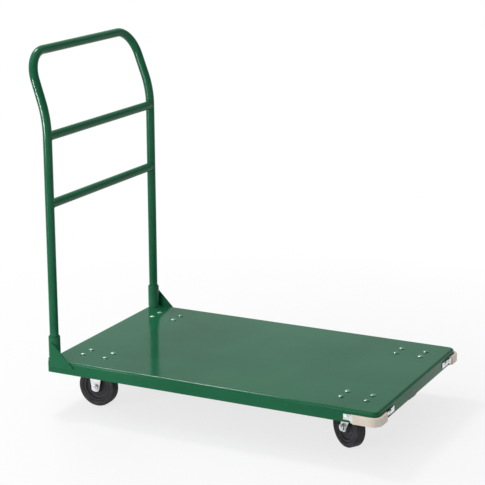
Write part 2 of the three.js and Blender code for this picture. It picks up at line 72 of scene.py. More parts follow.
def loft(rings, closed=False, caps=True):
    points = [Vector(point) for ring in rings for point in ring]
    count = len(rings[0])
    faces = []
    last = len(rings) if closed else len(rings) - 1
    for i in range(last):
        here = i * count
        there = ((i + 1) % len(rings)) * count
        for k in range(count):
            nextK = (k + 1) % count
            faces.append((here + k, here + nextK, there + nextK, there + k))
    if caps and not closed:
        faces.append(tuple(reversed(range(count))))
        faces.append(tuple(range(len(points) - count, len(points))))
    return points, faces


def turned(profile, sides=48):
    # profile: (radius, height) pairs turned about Z; a closed profile makes a ring
    closed = profile[0] == profile[-1]
    rings = []
    for radius, height in profile[:-1] if closed else profile:
        radius = max(radius, leastRadius)
        rings.append(circle(radius, height, sides))
    return loft(rings, closed)


def mirroredProfile(upper):
    # a profile that is the same above and below the middle, closed into a ring
    outline = upper + [(radius, -height) for radius, height in reversed(upper)]
    return outline + [outline[0]]


def circle(radius, height, sides):
    turns = [2 * math.pi * k / sides for k in range(sides)]
    return [(radius * math.cos(turn), radius * math.sin(turn), height) for turn in turns]


def extruded(outline, low, high):
    return loft([[(x, y, low) for x, y in outline], [(x, y, high) for x, y in outline]])


def moved(shape, matrix):
    points, faces = shape
    return [matrix @ point for point in points], faces


def joined(*shapes):
    points, faces = [], []
    for morePoints, moreFaces in shapes:
        start = len(points)
        points += morePoints
        faces += [tuple(start + i for i in face) for face in moreFaces]
    return points, faces


def swept(path, radii, sides=24, closed=False):
    # a round section carried along a path without twisting
    path = [Vector(point) for point in path]
    count = len(path)
    rings = []
    normal = None
    for i, point in enumerate(path):
        before = path[i - 1] if closed or i > 0 else point
        after = path[(i + 1) % count] if closed or i < count - 1 else point
        tangent = (after - before).normalized()
        if normal is None:
            normal = tangent.orthogonal()
        normal = (normal - tangent * normal.dot(tangent)).normalized()
        across = tangent.cross(normal)
        ring = []
        for k in range(sides):
            angle = 2 * math.pi * k / sides
            ring.append(point + (normal * math.cos(angle) + across * math.sin(angle)) * radii[i])
        rings.append(ring)
    return rings


def lifted(shape, height):
    return moved(shape, Matrix.Translation((0, 0, height)))


def axes(origin, alongX, alongY, alongZ):
    matrix = Matrix((alongX, alongY, alongZ)).transposed().to_4x4()
    matrix.translation = origin
    return matrix


def makePiece(name, shape, material, body, replaced=(), soften=0, smooth=34):
    points, faces = shape
    mesh = bpy.data.meshes.new(name)
    mesh.from_pydata([tuple(point) for point in points], [], faces)
    edit = bmesh.new()
    edit.from_mesh(mesh)
    bmesh.ops.remove_doubles(edit, verts=edit.verts, dist=sameSpot)
    bmesh.ops.recalc_face_normals(edit, faces=edit.faces)
    edit.to_mesh(mesh)
    edit.free()
    mesh.shade_smooth()
    mesh.set_sharp_from_angle(angle=math.radians(smooth))
    piece = bpy.data.objects.new(name, mesh)
    bpy.context.scene.collection.objects.link(piece)
    mesh.materials.append(material)
    if soften:
        bevel = piece.modifiers.new("softEdges", "BEVEL")
        bevel.width = soften * mm
        bevel.segments = 3
        bevel.limit_method = "ANGLE"
        bevel.angle_limit = math.radians(smooth)
        bevel.harden_normals = True
    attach(piece, body)
    if replaced:
        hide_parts(*replaced)
    return piece


class Finish:
    # one principled material with its noise, roughness and bump nodes
    def __init__(self, name, colour, metallic=0, specular=0.5):
        self.material = bpy.data.materials.new(name)
        self.material.use_nodes = True
        self.nodes = self.material.node_tree.nodes
        self.links = self.material.node_tree.links
        self.shader = self.nodes["Principled BSDF"]
        self.shader.inputs["Base Color"].default_value = (*colour, 1)
        self.shader.inputs["Metallic"].default_value = metallic
        self.shader.inputs["Specular IOR Level"].default_value = specular
        self.where = self.nodes.new("ShaderNodeTexCoord").outputs["Object"]

    def noise(self, scale, detail=4, roughness=0.5):
        node = self.nodes.new("ShaderNodeTexNoise")
        node.inputs["Scale"].default_value = scale
        node.inputs["Detail"].default_value = detail
        node.inputs["Roughness"].default_value = roughness
        self.links.new(self.where, node.inputs["Vector"])
        return node.outputs["Fac"]

    def cells(self, scale):
        node = self.nodes.new("ShaderNodeTexVoronoi")
        node.inputs["Scale"].default_value = scale
        self.links.new(self.where, node.inputs["Vector"])
        return node.outputs["Color"]

    def ramp(self, value, stops):
        node = self.nodes.new("ShaderNodeValToRGB")
        marks = node.color_ramp.elements
        while len(marks) < len(stops):
            marks.new(0.5)
        for mark, (place, colour) in zip(marks, stops):
            mark.position = place
            mark.color = (*colour, 1)
        self.links.new(value, node.inputs["Fac"])
        return node.outputs["Color"]

    def mix(self, factor, first, second, how="MIX"):
        node = self.nodes.new("ShaderNodeMix")
        node.data_type = "RGBA"
        node.blend_type = how
        for socket, value in ((0, factor), (6, first), (7, second)):
            if isinstance(value, bpy.types.NodeSocket):
                self.links.new(value, node.inputs[socket])
            elif socket == 0:
                node.inputs[socket].default_value = value
            else:
                node.inputs[socket].default_value = (*value, 1)
        return node.outputs[2]

    def range(self, value, low, high, start=0.3, end=0.7):
        node = self.nodes.new("ShaderNodeMapRange")
        node.inputs["From Min"].default_value = start
        node.inputs["From Max"].default_value = end
        node.inputs["To Min"].default_value = low
        node.inputs["To Max"].default_value = high
        self.links.new(value, node.inputs["Value"])
        return node.outputs["Result"]

    def edges(self, low, high):
        # how sharply the surface turns, from its geometry
        node = self.nodes.new("ShaderNodeNewGeometry")
        return self.range(node.outputs["Pointiness"], 0, 1, low, high)

    def colour(self, value):
        self.links.new(value, self.shader.inputs["Base Color"])

    def rough(self, value):
        self.links.new(value, self.shader.inputs["Roughness"])

    def bumps(self, *layers):
        normal = None
        for value, strength, distance in layers:
            node = self.nodes.new("ShaderNodeBump")
            node.inputs["Strength"].default_value = strength
            node.inputs["Distance"].default_value = distance
            self.links.new(value, node.inputs["Height"])
            if normal is not None:
                self.links.new(normal, node.inputs["Normal"])
            normal = node.outputs["Normal"]
        self.links.new(normal, self.shader.inputs["Normal"])


enamel = {
    "deep": (0.011, 0.118, 0.05),
    "fresh": (0.017, 0.142, 0.062),
    "worn": (0.04, 0.2, 0.105),
    # pale green for the bolt heads: partly rubbed paint, partly a painted highlight
    "rubbedAndHighlight": (0.2, 0.42, 0.31),
    "specular": 0.09,
    "rough": (0.09, 0.16),
    "boltSpecular": 0.7,
    "boltRough": (0.2, 0.34),
}
plating = {
    "dark": (0.72, 0.73, 0.74),
    "bright": (0.84, 0.85, 0.86),
    "dull": (0.56, 0.56, 0.55),
    "rough": (0.24, 0.42),
}
rubberTone = {
    "deep": (0.032, 0.032, 0.035),
    "dusty": (0.068, 0.067, 0.067),
    "specular": 0.2,
    "rough": (0.58, 0.78),
}
mouldTone = {
    "deep": (0.03, 0.03, 0.033),
    "pale": (0.05, 0.05, 0.053),
    "specular": 0.22,
    "rough": (0.42, 0.6),
}
vinylTone = {
    "cream": (0.84, 0.76, 0.63),
    "warm": (0.76, 0.65, 0.53),
    "grime": (0.5, 0.44, 0.36),
    "specular": 0.4,
    "rough": (0.4, 0.58),
}


def greenEnamel():
    finish = Finish("greenEnamel", enamel["fresh"], specular=enamel["specular"])
    patches = finish.ramp(finish.noise(5), [(0.3, enamel["deep"]), (0.7, enamel["fresh"])])
    edgeWear = finish.edges(0.54, 0.6)
    finish.colour(finish.mix(edgeWear, patches, enamel["worn"]))
    finish.rough(finish.range(finish.noise(22, 5), *enamel["rough"]))
    finish.bumps((finish.noise(420, 2), 0.035, 0.0006), (finish.noise(9, 1), 0.05, 0.002))
    return finish.material


def boltEnamel():
    # the same green over round heads, rubbed pale and uneven by what is dragged across them; the pale
    # patches are also a painted highlight on the domes
    finish = Finish("boltEnamel", enamel["fresh"], specular=enamel["boltSpecular"])
    # pale patches: partly rubbed paint, partly a painted highlight on the domes
    rubbedAndHighlight = finish.range(finish.noise(38, 3), 0.05, 0.9, 0.38, 0.62)
    chips = finish.range(finish.noise(420, 5, 0.6), 0, 0.35, 0.5, 0.7)
    rubbedAndHighlightGreen = finish.mix(rubbedAndHighlight, enamel["fresh"], enamel["rubbedAndHighlight"])
    finish.colour(finish.mix(chips, rubbedAndHighlightGreen, enamel["worn"]))
    finish.rough(finish.range(finish.noise(150, 4), *enamel["boltRough"]))
    finish.bumps((finish.noise(620, 3), 0.08, 0.0005))
    return finish.material


def zincPlate():
    finish = Finish("zincPlate", plating["bright"], metallic=1)
    spangle = finish.ramp(finish.cells(260), [(0.2, plating["dark"]), (0.8, plating["bright"])])
    stains = finish.range(finish.noise(60, 6, 0.65), 0, 0.5, 0.5, 0.75)
    finish.colour(finish.mix(stains, spangle, plating["dull"]))
    finish.rough(finish.range(finish.noise(90, 5), *plating["rough"]))
    finish.bumps((finish.noise(900, 3), 0.06, 0.0004))
    return finish.material


def tyreRubber():
    finish = Finish("tyreRubber", rubberTone["deep"], specular=rubberTone["specular"])
    dust = finish.range(finish.noise(46, 7, 0.65), 0, 1, 0.42, 0.7)
    finish.colour(finish.mix(dust, rubberTone["deep"], rubberTone["dusty"]))
    finish.rough(finish.range(finish.noise(30, 4), *rubberTone["rough"]))
    finish.bumps((finish.noise(700, 4), 0.16, 0.0005), (finish.noise(80, 3), 0.08, 0.001))
    return finish.material


def wheelMoulding():
    finish = Finish("wheelMoulding", mouldTone["deep"], specular=mouldTone["specular"])
    flow = finish.noise(34, 5)
    finish.colour(finish.ramp(flow, [(0.3, mouldTone["deep"]), (0.7, mouldTone["pale"])]))
    finish.rough(finish.range(finish.noise(70, 4), *mouldTone["rough"]))
    finish.bumps((finish.noise(850, 3), 0.1, 0.0004))
    return finish.material


def creamVinyl():
    finish = Finish("creamVinyl", vinylTone["cream"], specular=vinylTone["specular"])
    tone = finish.ramp(finish.noise(26, 4), [(0.3, vinylTone["warm"]), (0.7, vinylTone["cream"])])
    scuffs = finish.range(finish.noise(120, 7, 0.7), 0, 0.55, 0.56, 0.78)
    finish.colour(finish.mix(scuffs, tone, vinylTone["grime"]))
    finish.rough(finish.range(finish.noise(60, 4), *vinylTone["rough"]))
    finish.bumps((finish.noise(500, 4), 0.14, 0.0005))
    return finish.material


green = greenEnamel()
boltGreen = boltEnamel()
zinc = zincPlate()
rubber = tyreRubber()
moulding = wheelMoulding()
cream = creamVinyl()
print("materials ready")

deck = {
    "sheet": 2,
    "bend": 7,
    "frontCorner": 18,
    "rearCorner": 2.6,
    "lip": 0.6,
    "leastCorner": 0.4,
    "edgeHold": 2,  # how near a bend the flat next to it gets its own ring
    "cornerSteps": 10,
    "outerSteps": 8,
    "innerSteps": 6,
}


def deckOutline(inset):
    front = max(deck["frontCorner"] * mm - inset, deck["leastCorner"] * mm)
    rear = max(deck["rearCorner"] * mm - inset, deck["leastCorner"] * mm)
    low = (deckLow.x + inset, deckLow.y + inset)
    high = (deckHigh.x - inset, deckHigh.y - inset)
    steps = deck["cornerSteps"]
    return [
        *arc(high[0] - front, low[1] + front, front, -90, 0, steps),
        *arc(high[0] - front, high[1] - front, front, 0, 90, steps),
        *arc(low[0] + rear, high[1] - rear, rear, 90, 180, steps),
        *arc(low[0] + rear, low[1] + rear, rear, 180, 270, steps),
    ]


def deckPan():
    bend = deck["bend"] * mm
    sheet = deck["sheet"] * mm
    lip = deck["lip"] * mm
    hold = deck["edgeHold"] * mm
    depth = deckTop - deckLow.z
    outer = [(bend + hold, 0)]
    for i in range(deck["outerSteps"] + 1):
        angle = math.radians(90 * i / deck["outerSteps"])
        outer.append((bend * (1 - math.sin(angle)), -bend * (1 - math.cos(angle))))
    outer += [
        (0, -bend - hold),
        (0, -depth + lip + hold),
        (0, -depth + lip),
        (lip / 3, -depth + lip / 3),
        (lip, -depth),
    ]
    inner = [
        (sheet - lip / 2, -depth),
        (sheet, -depth + lip),
        (sheet, -depth + lip + hold),
        (sheet, -bend - hold),
    ]
    for i in range(deck["innerSteps"] + 1):
        angle = math.radians(90 * (1 - i / deck["innerSteps"]))
        radius = bend - sheet
        inner.append((bend - radius * math.sin(angle), -bend + radius * math.cos(angle)))
    inner.append((bend + hold, -sheet))
    rings = []
    for inset, drop in outer + inner:
        rings.append([(x, y, deckTop + drop) for x, y in deckOutline(inset)])
    return loft(rings)


deckSheet = makePiece("deckPan", deckPan(), green, "deck", ["deck_pan"], smooth=60)

stiffenerSize = {"bend": 1.2, "bendSteps": 3}
stiffener = frame["nodes"]["deck_stiffener"]
stiffener.data.materials.clear()
stiffener.data.materials.append(green)
bends = stiffener.modifiers.new("rolledBends", "BEVEL")
bends.width = stiffenerSize["bend"] * mm
bends.segments = stiffenerSize["bendSteps"]
bends.limit_method = "ANGLE"
bends.harden_normals = True


# a weld is a rippled bead along a path
weld = {
    "size": 2.1,
    "ripple": 0.22,
    "pitch": 2.4,
    "step": 0.7,
    "endSize": 0.35,
    "endGrowth": 0.22,
    "sides": 10,
    "raise": 0.4,
}


def pathPoints(corners, closed=False):
    # the corners joined by evenly spaced points
    corners = [Vector(point) for point in corners]
    if closed:
        corners.append(corners[0])
    points = []
    for start, end in zip(corners, corners[1:]):
        count = max(1, round((end - start).length / (weld["step"] * mm)))
        points += [start.lerp(end, i / count) for i in range(count)]
    if not closed:
        points.append(corners[-1])
    return points


def weldBead(name, corners, body, closed=False, size=1.0):
    path = pathPoints(corners, closed)
    radii = []
    for i in range(len(path)):
        along = i * weld["step"] / weld["pitch"]
        ripple = 1 + weld["ripple"] * math.cos(2 * math.pi * along)
        fromEnd = min(i, len(path) - 1 - i)
        ends = 1 if closed else min(1, weld["endSize"] + fromEnd * weld["endGrowth"])
        radii.append(weld["size"] * size * mm * ripple * ends)
    rings = swept(path, radii, weld["sides"], closed)
    makePiece(name, loft(rings, closed), green, body, smooth=80)


socketSize = {"radius": 16.7, "bore": 13.2, "rim": 3, "softening": 0.8, "sides": 56, "weldGap": 0.5}
gussetSize = {
    "sheet": 3,
    "softening": 0.7,
    "tip": 5,
    "seamOut": 9,
    "seamIn": 1.2,
    "seamFoot": 4,
    "seamTop": 6,
    "seamSize": 0.9,
}


def socketTube(height):
    radius = socketSize["radius"] * mm
    bore = socketSize["bore"] * mm
    rim = socketSize["rim"] * mm
    soft = socketSize["softening"] * mm
    profile = [
        (bore, 0),
        (radius, 0),
        (radius, height - rim),
        (radius - 0.25 * soft, height - rim + soft),
        (radius - rim / 2, height - soft / 2),
        (radius - rim / 2 - soft / 2, height),
        (bore + soft / 2, height),
        (bore, height - soft / 2),
        (bore, 0),
    ]
    return turned(profile, socketSize["sides"])


def gussetPlate(side, low, high):
    tip = gussetSize["tip"] * mm
    outline = [
        (low.x, low.z),
        (high.x, low.z),
        (high.x, low.z + tip),
        (low.x + 2 * tip, high.z),
        (low.x, high.z),
    ]
    near = low.y if side < 0 else high.y
    sheet = gussetSize["sheet"] * mm
    inside = near - side * sheet
    ringA = [(x, near, z) for x, z in outline]
    ringB = [(x, inside, z) for x, z in outline]
    return loft([ringA, ringB])


posts = {}
for sideName, side in sides.items():
    low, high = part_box("socket_" + sideName)
    posts[sideName] = Vector(((low.x + high.x) / 2, (low.y + high.y) / 2, low.z))
    post = posts[sideName]
    seat = Matrix.Translation(post)
    shape = moved(socketTube(high.z - low.z), seat)
    makePiece("socket_" + sideName.title(), shape, green, "deck", ["socket_" + sideName])
    gLow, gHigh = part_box("gusset_" + sideName)
    plate = gussetPlate(side, gLow, gHigh)
    soft = gussetSize["softening"]
    node = "gusset_" + sideName
    makePiece("gusset_" + sideName.title(), plate, green, "deck", [node], soften=soft)
    radius = (socketSize["radius"] + socketSize["weldGap"]) * mm
    start, end = (-150, 60) if side < 0 else (-60, 150)
    base = [(x, y, deckTop + weld["raise"] * mm) for x, y in arc(post.x, post.y, radius, start, end, 26)]
    weldBead("weldSocketBase_" + sideName.title(), base, "deck")
    inner = side * abs(gLow.y if side > 0 else gHigh.y)
    seamX = post.x + gussetSize["seamOut"] * mm
    seamY = inner - side * gussetSize["seamIn"] * mm
    seamZ = (deckTop + gussetSize["seamFoot"] * mm, gHigh.z - gussetSize["seamTop"] * mm)
    seam = [(seamX, seamY, z) for z in seamZ]
    weldBead("weldGusset_" + sideName.title(), seam, "deck", size=gussetSize["seamSize"])
print("deck, sockets and gussets made")

handle = {
    "radius": 12.7,
    "wall": 1.6,
    "lean": 19,
    "leanBend": 290,
    "cornerBend": 76,
    "gather": 2.3,  # degrees each leaned side turns inwards
    "barRadius": 12.7,
    "barStraight": 26,  # from the post's middle to the last flat ring of a cross bar
    "barSides": 48,
    "seamSize": 0.6,
    "seamInset": 0.95,
    "seamSwell": 1.05,
    "postSteps": 6,
    "bendSteps": 24,
    "cornerSteps": 20,
    "gripSteps": 8,
    "tubeSides": 40,
}


def handlePath(bendStart):
    post = posts["right"]
    lean = math.radians(handle["lean"])
    bend = handle["leanBend"] * mm
    corner = handle["cornerBend"] * mm
    low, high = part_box("handle_tube")
    steps = handle["postSteps"]
    points = [Vector((post.x, post.y, low.z + (bendStart - low.z) * i / steps)) for i in range(steps)]
    for i in range(handle["bendSteps"] + 1):
        angle = lean * i / handle["bendSteps"]
        x = post.x - bend * (1 - math.cos(angle))
        points.append(Vector((x, post.y, bendStart + bend * math.sin(angle))))
    leanUp = Vector((-math.sin(lean), 0, math.cos(lean)))
    gripZ = high.z - handle["radius"] * mm
    run = (gripZ - points[-1].z) / math.cos(lean) - corner
    centre = points[-1] + leanUp * run + Vector((0, corner, 0))
    for i in range(handle["cornerSteps"] + 1):
        angle = math.radians(90 * i / handle["cornerSteps"])
        point = centre + leanUp * corner * math.sin(angle)
        points.append(point - Vector((0, corner * math.cos(angle), 0)))
    for i in range(1, handle["gripSteps"]):
        points.append(points[-1].copy())
        points[-1].y = centre.y * (1 - i / handle["gripSteps"])
    slope = math.tan(math.radians(handle["gather"]))
    bendRise = bend * math.sin(lean)
    for point in points:
        above = max(0, point.z - bendStart)
        bent = min(above, bendRise)
        point.y += slope * (above - bent + bent * bent / (2 * bendRise))
    other = [Vector((p.x, -p.y, p.z)) for p in reversed(points)]
    return points + [Vector((points[-1].x, 0, points[-1].z))] + other


barHeights = {}
for name in ("upper_crossbar", "lower_crossbar"):
    low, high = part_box(name)
    barHeights[name] = (low.z + high.z) / 2
path = handlePath(barHeights["upper_crossbar"])
tubeOuter = swept(path, [handle["radius"] * mm] * len(path), handle["tubeSides"])
tubeBore = swept(path, [(handle["radius"] - handle["wall"]) * mm] * len(path), handle["tubeSides"])
tube = loft(tubeOuter + list(reversed(tubeBore)), closed=True)
handleTube = makePiece("handleTube", tube, green, "handle", ["handle_tube"], smooth=50)


def crossbar(height):
    radius = handle["barRadius"] * mm
    post = posts["right"]
    reach = abs(post.y)
    count = handle["barSides"]
    rings = []
    for end, blend in ((-1, 1), (-1, 0), (1, 0), (1, 1)):
        ring = []
        for k in range(count):
            angle = 2 * math.pi * k / count
            x, z = radius * math.cos(angle), radius * math.sin(angle)
            cope = math.sqrt(max(0, (handle["radius"] * mm) ** 2 - x * x))
            length = reach - (cope if blend else handle["barStraight"] * mm)
            ring.append((post.x + x, end * length, height + z))
        rings.append(ring)
    return loft(rings)


def copeSeam(height, side):
    radius = handle["radius"] * mm
    post = posts["right"]
    seam = []
    count = handle["barSides"]
    for k in range(count):
        angle = 2 * math.pi * k / count
        x = handle["seamInset"] * radius * math.cos(angle)
        y = abs(post.y) - math.sqrt(radius * radius - x * x)
        seam.append((post.x + x * handle["seamSwell"], side * y, height + radius * math.sin(angle)))
    return seam


for name, height in barHeights.items():
    bar = crossbar(height)
    makePiece(name.replace("_", "") + "Tube", bar, green, "handle", [name], smooth=50)
    for sideName, side in sides.items():
        seam = copeSeam(height, side)
        weldBead("weld_" + name + "_" + sideName, seam, "handle", closed=True, size=handle["seamSize"])
print("handle made")

bumperSize = {"reach": 10, "tail": 8, "tailThick": 4, "gap": 0.3, "softening": 1.9, "cornerSteps": 14}
strapSize = {"sheet": 2, "bend": 1.4, "rise": 0.2, "softening": 0.35, "bendSteps": 5}
strapBolt = {
    "head": 6,
    "dome": 3.5,
    "shank": 3,
    "pastDeck": 9,
    "nut": 5.6,
    "nutHeight": 4.4,
    "nutGap": 0.8,
    "washer": 7,
    "tail": 8,
}


def sheetStrip(corners, sheet, bend):
    # an open run of flat sheet with rounded bends, as a closed outline
    inner, outer = [], []
    for i, corner in enumerate(corners):
        corner = Vector(corner)
        before = (corner - Vector(corners[i - 1])).normalized() if i else None
        after = (Vector(corners[i + 1]) - corner).normalized() if i < len(corners) - 1 else None
        if before is None or after is None:
            way = after if before is None else before
            across = Vector((-way.y, way.x))
            inner.append(corner)
            outer.append(corner + across * sheet)
            continue
        turn = before.x * after.y - before.y * after.x
        steps = strapSize["bendSteps"]
        for k in range(steps + 1):
            share = k / steps
            start, end = corner - before * bend, corner + after * bend
            point = start * (1 - share) ** 2 + corner * 2 * share * (1 - share) + end * share**2
            way = (before * (1 - share) + after * share).normalized()
            across = Vector((-way.y, way.x))
            inner.append(point)
            outer.append(point + across * sheet)
    return [tuple(p) for p in inner] + [tuple(p) for p in reversed(outer)]


def bumperOutline(reachX, reachY):
    # plan of one corner: the deck's corner, offset, with a thin tail at each end
    gap, tail = bumperSize["gap"] * mm, bumperSize["tail"] * mm
    thin = gap + bumperSize["tailThick"] * mm
    far = bumperSize["reach"] * mm
    corner = deck["frontCorner"] * mm
    edgeX, edgeY = deckHigh.x, -deckHigh.y
    cx, cy = edgeX - corner, edgeY + corner
    steps = bumperSize["cornerSteps"]
    return [
        (reachX, edgeY - gap),
        (reachX, edgeY - thin),
        (reachX + tail, edgeY - thin),
        (reachX + tail, edgeY - far),
        *arc(cx, cy, corner + far, -90, 0, steps),
        (edgeX + far, reachY - tail),
        (edgeX + thin, reachY - tail),
        (edgeX + thin, reachY),
        (edgeX + gap, reachY),
        *arc(cx, cy, corner + gap, 0, -90, steps),
    ]


domeShape = {"foot": 0.22, "steps": 8, "sides": 40}


def domedBolt(size, length):
    head, dome, shank = (size[part] * mm for part in ("head", "dome", "shank"))
    foot = domeShape["foot"] * dome
    radius = (head * head + dome * dome) / (2 * dome)
    reach = math.asin(min(1, head / radius))
    profile = [(0, -length), (shank, -length), (shank, 0), (head, 0), (head, foot)]
    for i in range(1, domeShape["steps"] + 1):
        angle = reach * (1 - i / domeShape["steps"])
        rise = radius * math.cos(angle) - radius + dome
        profile.append((radius * math.sin(angle), foot + rise * (1 - domeShape["foot"])))
    return turned(profile, domeShape["sides"])


nutShape = {
    "chamfer": 1.06,  # chamfer circle as a share of half the width across flats
    "slope": 0.55,
    "leastCut": 0.05,
    "washer": 1.5,
    "washerGap": 0.3,
    "threadGap": 0.05,
    "sides": 36,
}


def hexNut(flat, height, bore):
    # chamfered hexagon with a hole; flat is half the width across flats
    sides = nutShape["sides"]
    chamfer = nutShape["chamfer"] * flat
    outerRings = []
    inner = []
    for z, top in ((0, False), (height, True)):
        pair = []
        for part in ("edge", "side"):
            ring = []
            for k in range(sides):
                angle = 2 * math.pi * k / sides
                hexRadius = flat / math.cos((angle + math.pi / 6) % (math.pi / 3) - math.pi / 6)
                cut = max(0, hexRadius - chamfer) * nutShape["slope"] + nutShape["leastCut"] * mm
                radius = min(hexRadius, chamfer) if part == "edge" else hexRadius
                level = z if part == "edge" else z + (-cut if top else cut)
                ring.append((radius * math.cos(angle), radius * math.sin(angle), level))
            pair.append(ring)
        outerRings += reversed(pair) if top else pair
        inner.append(circle(bore, z, sides))
    return loft([inner[0], *outerRings, inner[1]], closed=True)


def washer(radius, bore, thick):
    soft = 0.25 * thick
    profile = [
        (bore, 0),
        (radius - soft, 0),
        (radius, soft),
        (radius, thick - soft),
        (radius - soft, thick),
        (bore, thick),
        (bore, 0),
    ]
    return turned(profile, nutShape["sides"])


thread = {"pitch": 1.25, "crest": 0.1, "depth": 0.42, "leadIn": 0.8, "sides": 24}


def threadedTail(radius, length):
    # rolled thread as close rings, with a lead-in at the end
    pitch = thread["pitch"] * mm
    crest = thread["crest"] * pitch
    root = radius - thread["depth"] * pitch
    profile = [(0, 0), (radius, 0)]
    height = 0
    while height < length - pitch:
        profile += [(radius, height + crest), (root, height + pitch / 2), (radius, height + pitch - crest)]
        height += pitch
    profile += [(radius - thread["leadIn"] * mm, length), (0, length)]
    return turned(profile, thread["sides"])


def nutSet(size):
    # washer, nut and the thread standing past it, growing along +Z from the face they clamp
    thick = nutShape["washer"] * mm
    bolt = size["shank"] * mm
    return joined(
        washer(size["washer"] * mm, bolt + nutShape["washerGap"] * mm, thick),
        lifted(hexNut(size["nut"] * mm, size["nutHeight"] * mm, bolt), thick),
        threadedTail(bolt - nutShape["threadGap"] * mm, size["tail"] * mm),
    )


for sideName, side in sides.items():
    title = sideName.title()
    low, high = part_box("bumper_" + sideName)
    reachY = high.y if side < 0 else -low.y
    shape = extruded(bumperOutline(low.x, reachY), low.z, high.z)
    if side > 0:
        shape = moved(shape, Matrix.Scale(-1, 4, Vector((0, 1, 0))))
    node = "bumper_" + sideName
    soft = bumperSize["softening"]
    makePiece("cornerBumper_" + title, shape, cream, "deck", [node], soften=soft)
    for where in ("side", "front"):
        node = "bumper_strap_" + sideName + "_" + where
        sLow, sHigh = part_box(node)
        sheet = strapSize["sheet"] * mm
        tailEnd = bumperSize["tail"] * mm
        if where == "side":
            length = sHigh.x - sLow.x
            origin = Vector((sLow.x, side * (abs(deckLow.y) + bumperSize["gap"] * mm), sLow.z))
            matrix = axes(origin, Vector((1, 0, 0)), Vector((0, side, 0)), up)
        else:
            length = sHigh.y - sLow.y
            start = sHigh.y if side < 0 else sLow.y
            origin = Vector((deckHigh.x + bumperSize["gap"] * mm, start, sLow.z))
            matrix = axes(origin, Vector((0, side, 0)), Vector((1, 0, 0)), up)
        step = length - tailEnd
        over = bumperSize["tailThick"] * mm + bumperSize["gap"] * mm
        corners = [(0, 0), (step, 0), (step + strapSize["rise"] * mm, over), (length, over)]
        strip = extruded(sheetStrip(corners, sheet, strapSize["bend"] * mm), 0, sHigh.z - sLow.z)
        strip = moved(strip, matrix)
        soft = strapSize["softening"]
        makePiece("strap_" + title + where.title(), strip, zinc, "deck", [node], soften=soft)
        bolt = "bumper_bolt_" + sideName + "_" + where
        bLow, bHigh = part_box(bolt)
        centre = (bLow + bHigh) / 2
        proud = (bumperSize["gap"] * 2 + strapSize["sheet"]) * mm
        if where == "side":
            outward = Vector((0, side, 0))
            place = Vector((centre.x, side * (deckHigh.y + proud), centre.z))
        else:
            outward = Vector((1, 0, 0))
            place = Vector((deckHigh.x + proud, centre.y, centre.z))
        across = outward.cross(up)
        along = outward.cross(across)
        clamped = strapSize["sheet"] + deck["sheet"]
        head = domedBolt(strapBolt, (clamped + strapBolt["pastDeck"]) * mm)
        head = moved(head, axes(place, across, along, outward))
        makePiece("strapBolt_" + title + where.title(), head, zinc, "deck", [bolt])
        nutPlace = place - outward * (clamped + strapBolt["nutGap"]) * mm
        nut = moved(nutSet(strapBolt), axes(nutPlace, across, along * -1, -outward))
        makePiece("strapNut_" + title + where.title(), nut, zinc, "deck")
print("bumpers made")

plateBolt = {
    "head": 8,
    "dome": 4,
    "shank": 4,
    "plate": 3,
    "nut": 6.5,
    "nutHeight": 6.4,
    "washer": 8.6,
    "tail": 9.6,
}
casters = [end + "_" + sideName for end in ("front", "rear") for sideName in sides]
boltHeads = []
for caster in casters:
    plateNode = caster + ("_caster_plate" if caster.startswith("front") else "_fork")
    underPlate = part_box(plateNode)[1].z - plateBolt["plate"] * mm
    for i in range(1, 5):
        node = "bolt_" + caster + "_" + str(i)
        low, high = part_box(node)
        x, y = (low.x + high.x) / 2, (low.y + high.y) / 2
        head = domedBolt(plateBolt, deckTop - low.z)
        head = moved(head, Matrix.Translation((x, y, high.z - plateBolt["dome"] * mm)))
        name = "deckBolt_" + caster + "_" + str(i)
        boltHeads.append(makePiece(name, head, boltGreen, "deck", [node]))
        hang = Matrix.Translation((x, y, underPlate)) @ Matrix.Rotation(math.pi, 4, "X")
        nut = moved(nutSet(plateBolt), hang)
        makePiece("deckNut_" + caster + "_" + str(i), nut, zinc, "deck")
print("deck bolts made")

plateSize = {"sheet": 3, "corner": 8, "softening": 0.6, "cornerSteps": 8}
race = {"radius": 27, "bore": 7, "depth": 6, "lowerDepth": 4, "gap": 0.5, "lip": 1.6, "sides": 56}
fork = {
    "sheet": 3,
    "bend": 6,
    "topHalf": 23,
    "tip": 13,
    "inner": 16.5,
    "swivelWaist": 8,
    "rigidWaist": 32,
    "softening": 0.6,
    "tipSteps": 8,
    "legSteps": 12,
    "bendSteps": 6,
    "columns": 12,
}
pin = {"radius": 6, "head": 10, "headHeight": 3.4, "foot": 5, "softening": 0.4, "sides": 40}


def platePlan(low, high):
    corner = plateSize["corner"] * mm
    steps = plateSize["cornerSteps"]
    return [
        *arc(high.x - corner, low.y + corner, corner, -90, 0, steps),
        *arc(high.x - corner, high.y - corner, corner, 0, 90, steps),
        *arc(low.x + corner, high.y - corner, corner, 90, 180, steps),
        *arc(low.x + corner, low.y + corner, corner, 180, 270, steps),
    ]


